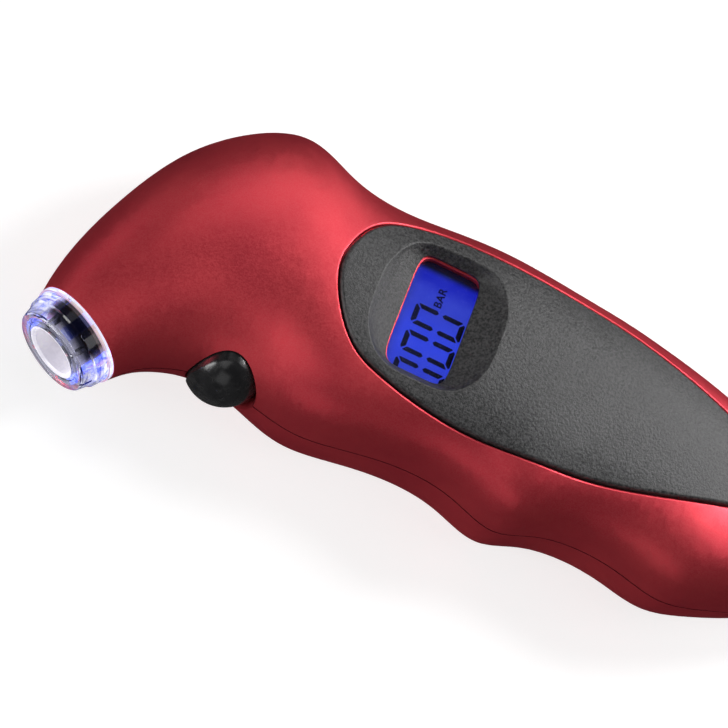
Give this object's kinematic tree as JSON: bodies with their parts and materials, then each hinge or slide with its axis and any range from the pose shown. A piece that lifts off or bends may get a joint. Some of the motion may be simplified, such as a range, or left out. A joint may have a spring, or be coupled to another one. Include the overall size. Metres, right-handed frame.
{
  "type": "digital tire pressure gauge",
  "caption": "Hand-held digital tyre gauge with bent red casing, black front panel, lit display, clear valve nozzle, push button in the bend and battery bay in the handle.",
  "frame": {"origin": "on the flat back that the gauge lies on, under the middle of its bounding box", "axes": "+X along the handle from the nozzle end to the tail, +Y from the button side to the crown of the bent head, +Z out of the display"},
  "size_m": [0.1548, 0.0596, 0.0325],
  "materials": {
    "red_paint": "satin metallic red coat over moulded plastic",
    "black_panel": "fine sandy texture",
    "clear_lens": "clear moulded lens",
    "lcd_glass": "liquid crystal glass, lit blue from behind",
    "diffuser": "translucent white",
    "lamp_case": "clear white lamp resin",
    "rubber_strip": "layered conductive rubber",
    "circuit_board": "green solder mask",
    "black_resin": "moulded black",
    "component_cases": "ceramic and foil cases",
    "zinc_steel": "zinc plated",
    "sensor_case": "moulded off-white",
    "silicone_hose": "milky silicone",
    "red_wire": "flexible wire cover",
    "black_wire": "flexible wire cover",
    "clear_tip": "clear moulded tip, faintly violet",
    "grey_sleeve": "light grey, smooth",
    "brass_body": "machined",
    "seal_rubber": "soft black",
    "black_button": "polished black",
    "switch_plastic": "moulded dark grey",
    "spring_steel": "nickel plated",
    "cell_steel": "stainless cans",
    "door_black": "fine texture"
  },
  "bodies": {
    "housing": {"front_casing": "red_paint", "back_casing": "red_paint", "front_panel": "black_panel", "display_window": "clear_lens", "lcd_glass": "lcd_glass", "backlight_diffuser": "diffuser", "backlight_lamps": "lamp_case", "zebra_strips": "rubber_strip", "main_board": "circuit_board", "controller_chip": "black_resin", "board_components": "component_cases", "board_screws": "zinc_steel", "pressure_sensor": "sensor_case", "air_hose": "silicone_hose", "lamp_leads": "red_wire", "switch_leads": "black_wire", "battery_lead_red": "red_wire", "battery_lead_black": "black_wire", "nozzle_tip": "clear_tip", "nozzle_sleeve": "grey_sleeve", "nozzle_body": "brass_body", "valve_seal": "seal_rubber", "depressor_pin": "brass_body", "nozzle_o_ring": "seal_rubber", "nozzle_lamp_board": "black_resin", "nozzle_lamps": "lamp_case", "switch_body": "switch_plastic", "switch_snap_dome": "spring_steel", "switch_board": "circuit_board", "battery_tray": "black_resin", "battery_cells": "cell_steel", "battery_contacts": "spring_steel", "battery_spring": "spring_steel", "casing_screws": "zinc_steel"},
    "trigger": {"trigger_button": "black_button"},
    "plunger": {"switch_plunger": "switch_plastic"},
    "battery_lid": {"battery_door": "door_black", "battery_door_screws": "zinc_steel"}
  },
  "joints": [
    {"name": "trigger_slide", "type": "slide", "parent": "housing", "child": "trigger", "axis": [-0.139, 0.9903, 0], "range_m": [0, 0.0006], "stiffness_N_per_m": 2000, "springref_m": -0.0004},
    {"name": "plunger_slide", "type": "slide", "parent": "housing", "child": "plunger", "axis": [-0.139, 0.9903, 0], "range_m": [0, 0.0006]},
    {"name": "battery_door_slide", "type": "slide", "parent": "housing", "child": "battery_lid", "axis": [0, 0, -1], "range_m": [0, 0.02]}
  ],
  "couplings": [
    {"joint": "plunger_slide", "follows": "trigger_slide", "ratio": 1}
  ]
}
